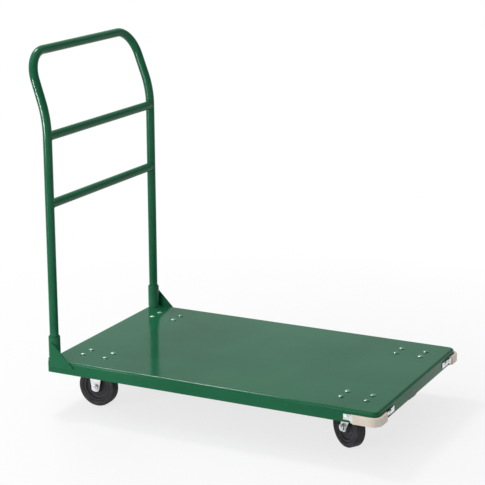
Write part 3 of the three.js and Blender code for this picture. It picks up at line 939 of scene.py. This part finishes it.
def forkStrip(crownTop, axleX, axleZ, waistZ):
    # the fork's sheet as stations across its U, each with its own width along X
    sheet = fork["sheet"] * mm
    outer = fork["inner"] * mm + sheet
    bend = fork["bend"] * mm
    tip = fork["tip"] * mm
    half = fork["topHalf"] * mm
    straightTop = crownTop - bend
    stations = []

    def widthAt(z):
        # leg edges at height z: from the waist the sides run in to touch the round tip
        if z <= axleZ:
            reach = math.sqrt(max(0.0, tip * tip - (axleZ - z) ** 2))
            return axleX - reach, axleX + reach
        if z >= waistZ:
            share = min(1, (crownTop - z) / max(1e-6, crownTop - waistZ))
            return -half + 0.25 * axleX * share, half
        share = (waistZ - z) / (waistZ - axleZ)
        left = (-half + 0.25 * axleX) * (1 - share) + (axleX - tip) * share
        right = half * (1 - share) + (axleX + tip) * share
        return left, right

    leg = []
    for i in range(fork["tipSteps"] + 1):
        angle = math.radians(90 * i / fork["tipSteps"])
        leg.append(axleZ - tip * math.cos(angle))
    for i in range(1, fork["legSteps"] + 1):
        leg.append(axleZ + (straightTop - axleZ) * i / fork["legSteps"])
    for z in leg:
        stations.append((outer, z, Vector((0, 1, 0)), *widthAt(z)))
    for i in range(1, fork["bendSteps"] + 1):
        angle = math.radians(90 * i / fork["bendSteps"])
        normal = Vector((0, math.cos(angle), math.sin(angle)))
        y = outer - bend + bend * math.cos(angle)
        z = straightTop + bend * math.sin(angle)
        stations.append((y, z, normal, *widthAt(max(z, waistZ))))
    mirrored = [(-y, z, Vector((0, -n.y, n.z)), a, b) for y, z, n, a, b in reversed(stations)]
    rings = []
    columns = fork["columns"]
    for y, z, normal, a, b in stations + mirrored:
        b = max(b, a + 0.4 * mm)
        top, under = [], []
        for k in range(columns + 1):
            x = a + (b - a) * k / columns
            point = Vector((x, y, z))
            top.append(point)
            under.append(point - normal * sheet)
        rings.append(top + list(reversed(under)))
    return loft(rings)


def raceRing(radius, top, depth):
    lip = race["lip"] * mm
    bore = race["bore"] * mm
    bottom = top - depth
    profile = [
        (bore, top),
        (radius - lip, top),
        (radius, top - lip),
        (radius, bottom + lip),
        (radius - lip, bottom),
        (bore, bottom),
        (bore, top),
    ]
    return turned(profile, race["sides"])


def kingpin(foot, top):
    head, radius = pin["head"] * mm, pin["radius"] * mm
    footTop = foot + pin["foot"] * mm
    headFoot = top - pin["headHeight"] * mm
    soft = pin["softening"] * mm
    profile = [
        (0, foot),
        (head - 2 * mm, foot),
        (head - 0.6 * mm, foot + 0.7 * mm),
        (head, foot + 2 * mm),
        (head, footTop),
        (radius, footTop),
        (radius, headFoot),
        (head, headFoot),
        (head, top - soft),
        (head - soft, top),
        (0, top),
    ]
    return turned(profile, pin["sides"])


wheelSize = {
    "radius": 57.5,
    "width": 30,
    "shoulder": 5,
    "core": 42,
    "rim": 26,
    "web": 14,
    "boss": 15,
    "bore": 6.3,
    "bossHalf": 15.9,
    "rimWall": 6,
    "ribHalf": 2,  # half the foot of the raised ring on the web
    "softening": 0.6,
    "tyreSides": 96,
    "coreSides": 72,
}
axle = {
    "radius": 6,
    "flat": 8.66,  # half the width across flats
    "headHeight": 6,
    "nutHeight": 7,
    "tail": 3,
    "leadIn": 0.8,
    "washer": 11,
    "washerThick": 1.2,
    "gap": 0.3,
}


def tyreShape():
    radius, half = wheelSize["radius"] * mm, wheelSize["width"] / 2 * mm
    shoulder = wheelSize["shoulder"] * mm
    inner = (wheelSize["core"] + 0.3) * mm
    wall = [
        (inner, half - 1.2 * mm),
        (inner + 1.5 * mm, half - 0.3 * mm),
        (inner + 2.2 * mm, half - 0.9 * mm),  # moulded groove
        (inner + 3.0 * mm, half - 0.3 * mm),
        (inner + 5.5 * mm, half),
    ]
    for i in range(8):
        angle = math.radians(90 * i / 7)
        wall.append((radius - shoulder * (1 - math.sin(angle)), half - shoulder * (1 - math.cos(angle))))
    crown = [(radius - 0.05 * mm, half * 0.5), (radius, half * 0.12)]
    return turned(mirroredProfile(wall + crown), wheelSize["tyreSides"])


def coreShape():
    outer, rim = wheelSize["core"] * mm, (wheelSize["core"] - wheelSize["rimWall"]) * mm
    half, web = wheelSize["rim"] / 2 * mm, wheelSize["web"] / 2 * mm
    boss, bore = wheelSize["boss"] * mm, wheelSize["bore"] * mm
    bossHalf = wheelSize["bossHalf"] * mm
    soft = wheelSize["softening"] * mm
    ribFoot = wheelSize["ribHalf"] * mm
    ribTop = ribFoot / 2
    middle = (rim + boss) / 2
    upper = [
        (outer, half - soft),
        (outer - soft, half),
        (rim + soft, half),
        (rim, half - soft),
        (rim - 2 * mm, web + soft),
        (rim - 2.8 * mm, web),
        (middle + ribFoot, web),
        (middle + ribTop, web + 1 * mm),
        (middle - ribTop, web + 1 * mm),
        (middle - ribFoot, web),
        (boss + 2.6 * mm, web),
        (boss + 1.8 * mm, web + 0.8 * mm),
        (boss, bossHalf - soft),
        (boss - soft, bossHalf),
        (bore + 0.5 * mm, bossHalf),
        (bore, bossHalf - 0.5 * mm),
    ]
    return turned(mirroredProfile(upper), wheelSize["coreSides"])


def axleBolt(outside):
    # head and washer on one side of the fork, with the shank reaching out past the nut
    thick = axle["washerThick"] * mm
    radius = axle["radius"] * mm
    head = hexNut(axle["flat"] * mm, axle["headHeight"] * mm - thick, 0.4 * mm)
    clamp = joined(washer(axle["washer"] * mm, radius, thick), lifted(head, thick))
    end = -outside - (axle["nutHeight"] + axle["tail"] - 1) * mm
    shank = [
        (0, end),
        (radius - axle["leadIn"] * mm, end),
        (radius, -outside - (axle["nutHeight"] + 1) * mm),
        (radius, outside + 1 * mm),
        (0, outside + 1 * mm),
    ]
    return joined(lifted(clamp, outside), turned(shank, nutShape["sides"]))


def axleNut(outside):
    thick = axle["washerThick"] * mm
    radius = axle["radius"] * mm
    nut = hexNut(axle["flat"] * mm, (axle["nutHeight"] - axle["washerThick"]) * mm, radius + 0.1 * mm)
    ring = washer(axle["washer"] * mm, radius + 0.2 * mm, thick)
    return lifted(joined(ring, lifted(nut, thick)), outside)


for caster in casters:
    isFront = caster.startswith("front")
    title = caster.title().replace("_", "")
    spin = jointAt[caster + "_spin"]
    wheelCentre = Vector(spin["pos_m"])
    spinAxis = Vector(spin["axis"]).normalized()
    plateNode = caster + ("_caster_plate" if isFront else "_fork")
    low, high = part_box(plateNode)
    yoke = caster + "_yoke" if isFront else "deck"
    plateTop = high.z
    sheet = plateSize["sheet"] * mm
    if isFront:
        pivot = Vector(jointAt[caster + "_swivel"]["pos_m"])
        pivot.z = plateTop
    else:
        pivot = Vector(((low.x + high.x) / 2, (low.y + high.y) / 2, plateTop))
    plate = extruded(platePlan(low, high), plateTop - sheet, plateTop)
    wheelY = spinAxis if spinAxis.y > 0 else -spinAxis
    wheelX = wheelY.cross(up)
    steered = axes(pivot, wheelX, wheelY, up)
    local = steered.inverted() @ wheelCentre
    if isFront:
        soft = plateSize["softening"]
        atPivot = Matrix.Translation(pivot)
        upperRace = moved(raceRing(race["radius"] * mm, -sheet, race["depth"] * mm), atPivot)
        plate = joined(plate, upperRace)
        makePiece("casterPlate_" + title, plate, zinc, "deck", [plateNode], soften=soft)
        pinNode = caster + "_kingpin"
        pinLow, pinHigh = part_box(pinNode)
        pinShape = moved(kingpin(pinLow.z - pivot.z, pinHigh.z - pivot.z), atPivot)
        makePiece("kingpin_" + title, pinShape, zinc, "deck", [pinNode])
        crownTop = -(plateSize["sheet"] + race["depth"] + race["gap"]) * mm
        waist = crownTop - fork["swivelWaist"] * mm
        lowerRace = raceRing(race["radius"] * mm, crownTop, race["lowerDepth"] * mm)
        strip = forkStrip(crownTop - 0.4 * mm, local.x, local.z, waist)
        body = moved(joined(strip, lowerRace), steered)
        soft = fork["softening"]
        makePiece("swivelFork_" + title, body, zinc, yoke, [caster + "_fork"], soften=soft)
    else:
        strip = forkStrip(-sheet + 0.1 * mm, 0, local.z, -sheet - fork["rigidWaist"] * mm)
        body = joined(plate, moved(strip, steered))
        makePiece("rigidFork_" + title, body, zinc, yoke, [plateNode], soften=fork["softening"])
    wheelTurn = axes(wheelCentre, wheelX, wheelY.cross(wheelX), wheelY)
    wheel = caster + "_wheel"
    tyre = moved(tyreShape(), wheelTurn)
    makePiece("tyre_" + title, tyre, rubber, wheel, [caster + "_tyre"], smooth=40)
    core = moved(coreShape(), wheelTurn)
    coreNode = caster + "_wheel_core"
    makePiece("wheelCore_" + title, core, moulding, wheel, [coreNode], smooth=40)
    outside = (fork["inner"] + fork["sheet"] + axle["gap"]) * mm
    bolt = moved(axleBolt(outside), wheelTurn)
    makePiece("axleBolt_" + title, bolt, zinc, yoke, [caster + "_axle_bolt"])
    nut = moved(axleNut(outside), wheelTurn @ Matrix.Rotation(math.pi, 4, "X"))
    makePiece("axleNut_" + title, nut, zinc, yoke, [caster + "_axle_nut"])
print("casters made")

studio = {
    "floor": (0.86, 0.86, 0.86),
    "floorRough": 0.9,
    "floorSpecular": 0.1,
    "sky": (0.74, 0.74, 0.79),
    "shade": 0.25,
    "shadeStart": -0.3,
    "shadeEnd": 0.8,
    "wall": 4.8,
    "radius": 30,
    "sides": 96,
    "shadowShare": 0.24,
    "fadeStart": 0.7,
    "fadeEnd": 1.7,
}


def studioFloor():
    count = studio["sides"]
    rim = [2 * math.pi * k / count for k in range(count)]
    points = []
    for height in (0, studio["wall"]):
        for angle in rim:
            points.append((studio["radius"] * math.cos(angle), studio["radius"] * math.sin(angle), height))
    faces = [tuple(range(count))]
    for k in range(count):
        after = (k + 1) % count
        faces.append((k, after, count + after, count + k))
    mesh = bpy.data.meshes.new("studioFloor")
    mesh.from_pydata(points, [], faces)
    floor = bpy.data.objects.new("studioFloor", mesh)
    bpy.context.scene.collection.objects.link(floor)
    paint = Finish("floorPaint", studio["floor"], specular=studio["floorSpecular"])
    paint.shader.inputs["Roughness"].default_value = studio["floorRough"]
    nodes, links = paint.nodes, paint.links
    # the floor turns plain white away from the cart, and keeps the cart's soft shadow near it
    away = nodes.new("ShaderNodeVectorMath")
    away.operation = "LENGTH"
    links.new(paint.where, away.inputs[0])
    fade = (studio["fadeStart"], studio["fadeEnd"])
    share = paint.range(away.outputs["Value"], 1 - studio["shadowShare"], 1, *fade)
    rays = nodes.new("ShaderNodeLightPath")
    seen = rays.outputs["Is Camera Ray"]
    for ray in ("Is Glossy Ray", "Is Transmission Ray"):
        either = nodes.new("ShaderNodeMath")
        either.operation = "MAXIMUM"
        links.new(seen, either.inputs[0])
        links.new(rays.outputs[ray], either.inputs[1])
        seen = either.outputs[0]
    factor = nodes.new("ShaderNodeMath")
    factor.operation = "MULTIPLY"
    links.new(share, factor.inputs[0])
    links.new(seen, factor.inputs[1])
    white = nodes.new("ShaderNodeEmission")
    blend = nodes.new("ShaderNodeMixShader")
    links.new(factor.outputs[0], blend.inputs[0])
    links.new(paint.shader.outputs[0], blend.inputs[1])
    links.new(white.outputs[0], blend.inputs[2])
    links.new(blend.outputs[0], nodes["Material Output"].inputs["Surface"])
    mesh.materials.append(paint.material)


def studioSky():
    # even and pale, and dimmer on the bumper side, as in a studio lit from one side
    world = bpy.data.worlds.new("studio")
    world.use_nodes = True
    nodes, links = world.node_tree.nodes, world.node_tree.links
    backdrop = nodes["Background"]
    backdrop.inputs["Color"].default_value = (*studio["sky"], 1)
    split = nodes.new("ShaderNodeSeparateXYZ")
    links.new(nodes.new("ShaderNodeTexCoord").outputs["Generated"], split.inputs[0])
    dimming = nodes.new("ShaderNodeMapRange")
    dimming.inputs["From Min"].default_value = studio["shadeStart"]
    dimming.inputs["From Max"].default_value = studio["shadeEnd"]
    dimming.inputs["To Min"].default_value = 1
    dimming.inputs["To Max"].default_value = studio["shade"]
    links.new(split.outputs["X"], dimming.inputs["Value"])
    links.new(dimming.outputs["Result"], backdrop.inputs["Strength"])
    bpy.context.scene.world = world


def softbox(name, place, target, size, radiance, glossOnly=False, onlyOn=()):
    lamp = bpy.data.lights.new(name, "AREA")
    lamp.shape = "RECTANGLE"
    lamp.size, lamp.size_y = size
    lamp.energy = radiance * math.pi * size[0] * size[1]
    holder = bpy.data.objects.new(name, lamp)
    bpy.context.scene.collection.objects.link(holder)
    holder.location = place
    holder.visible_camera = False
    holder.visible_diffuse = not glossOnly
    if onlyOn:
        lit = bpy.data.collections.new(name + "Lit")
        for piece in onlyOn:
            lit.objects.link(piece)
        holder.light_linking.receiver_collection = lit
    holder.rotation_mode = "QUATERNION"
    holder.rotation_quaternion = (Vector(target) - Vector(place)).to_track_quat("-Z", "Y")


studioFloor()
studioSky()
lamps = {
    "overheadBox": {
        "place": (-0.9, -0.4, 3.4),
        "target": (0, 0, 0.2),
        "size": (2.8, 2.8),
        "radiance": 0.55,
    },
    "keyBox": {
        "place": (-1.3, 0.5, 2.7),
        "target": (0, 0, 0.2),
        "size": (0.6, 0.6),
        "radiance": 27,
    },
    "edgeBox": {
        "place": (-1.5, 0.75, 2.65),
        "target": (-0.2, -0.3, 0.15),
        "size": (1.2, 0.8),
        "radiance": 36,
        "glossOnly": True,
        "onlyOn": [deckSheet, *boltHeads],
    },
    "tubeBox": {
        "place": (-1.45, -1.95, 0.66),
        "target": (-0.5, -0.28, 0.95),
        "size": (0.8, 0.44),
        "radiance": 85,
        "glossOnly": True,
        "onlyOn": [handleTube],
    },
    "frontBox": {
        "place": (-1.0, -4.2, 1.9),
        "target": (0, 0, 0.2),
        "size": (0.5, 2.4),
        "radiance": 6,
    },
    "stripBox": {
        "place": (-1.35, -1.9, 0.55),
        "target": (-0.45, -0.2, 0.6),
        "size": (0.3, 1.0),
        "radiance": 12,
    },
}
for name, lamp in lamps.items():
    softbox(name, **lamp)
print("floor, sky and lamps made")

view = {
    "azimuth": 26.537,
    "elevation": 14.679,
    "roll": -0.227,
    "lens": 121.04,
    "sensor": 36,
    "offset": (1.9462, -3.9646, 1.4831),  # metres from the middle of the deck's top
}
camera = bpy.data.objects.new("camera", bpy.data.cameras.new("camera"))
bpy.context.scene.collection.objects.link(camera)
bpy.context.scene.camera = camera
camera.data.lens = view["lens"]
camera.data.sensor_width = view["sensor"]
azimuth, elevation, roll = (math.radians(view[key]) for key in ("azimuth", "elevation", "roll"))
level = math.cos(elevation)
back = Vector((math.sin(azimuth) * level, -math.cos(azimuth) * level, math.sin(elevation)))
right = (-back).cross(up).normalized()
upward = right.cross(-back)
rightRolled = right * math.cos(roll) + upward * math.sin(roll)
upRolled = upward * math.cos(roll) - right * math.sin(roll)
place = Vector((deckMiddle, 0, deckTop)) + Vector(view["offset"])
camera.matrix_world = axes(place, rightRolled, upRolled, back)
bpy.context.scene.view_settings.view_transform = "Standard"
print("studio ready")
